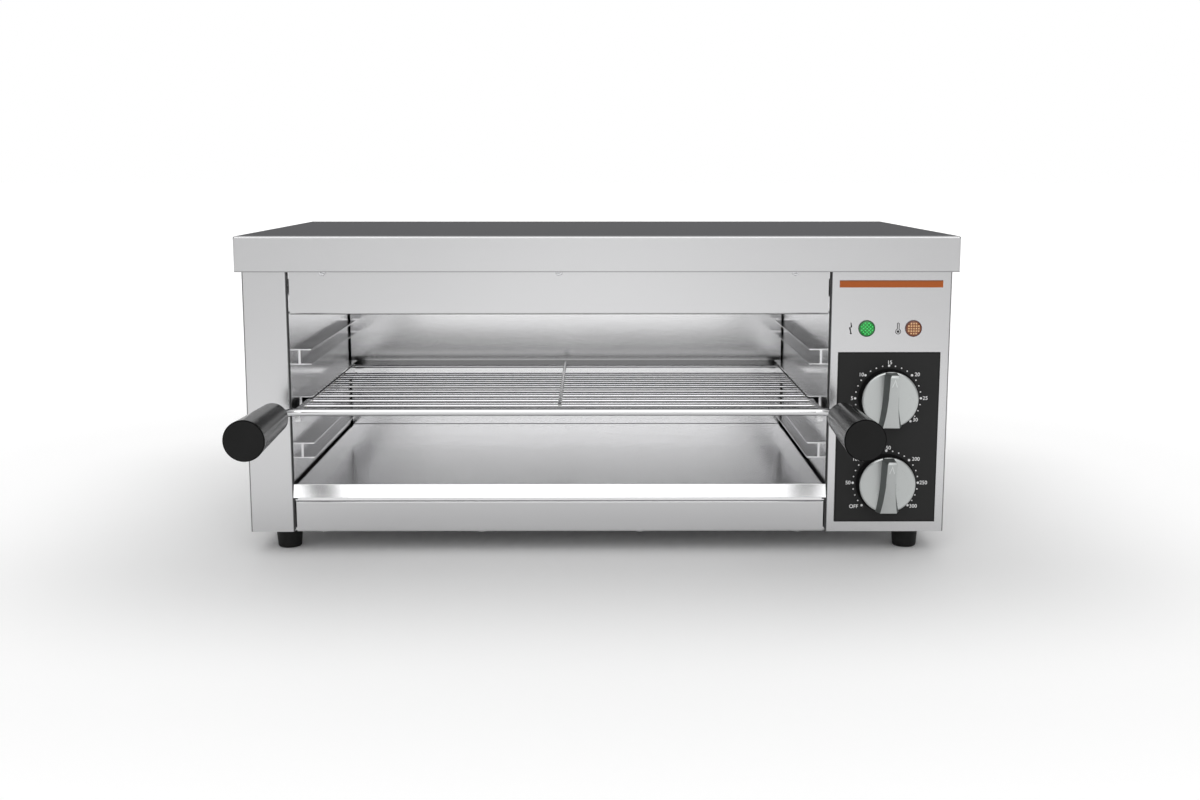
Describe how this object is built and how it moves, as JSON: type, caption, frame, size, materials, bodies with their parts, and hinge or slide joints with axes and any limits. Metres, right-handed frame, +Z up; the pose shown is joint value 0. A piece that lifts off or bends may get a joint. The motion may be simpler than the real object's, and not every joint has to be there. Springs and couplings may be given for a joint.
{
  "type": "salamander toaster",
  "caption": "Countertop salamander grill with an open front cavity, a sliding wire rack with two round handles, a crumb tray and a control column with knobs and lamps.",
  "frame": {"origin": "on the surface it stands on, under the middle of its bounding box", "axes": "+X to the right seen from the front, +Y to the back, +Z up"},
  "size_m": [0.61, 0.501, 0.275],
  "materials": {
    "casing_steel": "satin stainless sheet",
    "cover_graphite": "stainless skirt, dark graphite top",
    "liner_steel": "bright rolled stainless sheet",
    "rack_steel": "bright drawn rod",
    "fastener_steel": "plain",
    "element_sheath": "heat-darkened tube",
    "handle_black": "moulded phenolic",
    "dial_black": "matt black print",
    "trim_orange": "orange print",
    "knob_black": "moulded",
    "knob_grey": "silver-grey moulded",
    "lens_green": "clear tinted",
    "lens_amber": "clear tinted",
    "switch_plastic": "moulded",
    "terminal_ceramic": "glazed",
    "copper_tube": "drawn",
    "wire_insulation": "glass-braid sleeve",
    "mineral_wool": "felted",
    "foot_rubber": "moulded"
  },
  "bodies": {
    "casing": {"base_pan": "casing_steel", "base_screws": "fastener_steel", "bulb_clips": "liner_steel", "cable_gland": "knob_black", "capillary_tube": "copper_tube", "cavity_floor": "liner_steel", "control_casing": "casing_steel", "dial_plate": "dial_black", "element_bushes": "terminal_ceramic", "element_hangers": "liner_steel", "fascia_screws": "fastener_steel", "foot_nuts": "fastener_steel", "foot_screws": "fastener_steel", "gland_nut": "knob_black", "heating_element_1": "element_sheath", "heating_element_2": "element_sheath", "heating_lamp_lens": "lens_amber", "insulation_mat": "mineral_wool", "internal_wiring": "wire_insulation", "lamp_bodies": "switch_plastic", "left_liner": "liner_steel", "left_rail_1": "liner_steel", "left_rail_2": "liner_steel", "left_rail_3": "liner_steel", "left_side_panel": "casing_steel", "lower_fascia": "casing_steel", "power_lamp_lens": "lens_green", "rear_liner": "liner_steel", "rear_panel": "casing_steel", "rear_screws": "fastener_steel", "reflector": "liner_steel", "right_liner": "liner_steel", "right_rail_1": "liner_steel", "right_rail_2": "liner_steel", "right_rail_3": "liner_steel", "rubber_feet": "foot_rubber", "switch_screws": "fastener_steel", "terminal_block": "terminal_ceramic", "thermostat_bulb": "liner_steel", "thermostat_case": "switch_plastic", "timer_case": "switch_plastic", "top_cover": "cover_graphite", "trim_stripe": "trim_orange", "upper_fascia": "casing_steel"},
    "rack": {"rack_front_bar": "rack_steel", "rack_side_bars": "rack_steel", "rack_rear_rod": "rack_steel", "rack_cross_rods": "rack_steel", "rack_centre_rod": "rack_steel", "left_handle": "handle_black", "right_handle": "handle_black"},
    "tray": {"crumb_tray": "liner_steel"},
    "timer_dial": {"timer_knob": "knob_black", "timer_knob_cap": "knob_grey", "timer_shaft": "fastener_steel"},
    "thermostat_dial": {"thermostat_knob": "knob_black", "thermostat_knob_cap": "knob_grey", "thermostat_shaft": "fastener_steel"}
  },
  "joints": [
    {"name": "rack_slide", "type": "slide", "parent": "casing", "child": "rack", "axis": [0, -1, 0], "range_m": [0, 0.2]},
    {"name": "tray_slide", "type": "slide", "parent": "casing", "child": "tray", "axis": [0, -1, 0], "range_m": [0, 0.24]},
    {"name": "timer_turn", "type": "hinge", "parent": "casing", "child": "timer_dial", "pos_m": [0.24845, -0.0975, 0.137], "axis": [0, 1, 0], "range_deg": [-135, 135]},
    {"name": "thermostat_turn", "type": "hinge", "parent": "casing", "child": "thermostat_dial", "pos_m": [0.24845, -0.0975, 0.0632], "axis": [0, 1, 0], "range_deg": [-135, 135]}
  ]
}
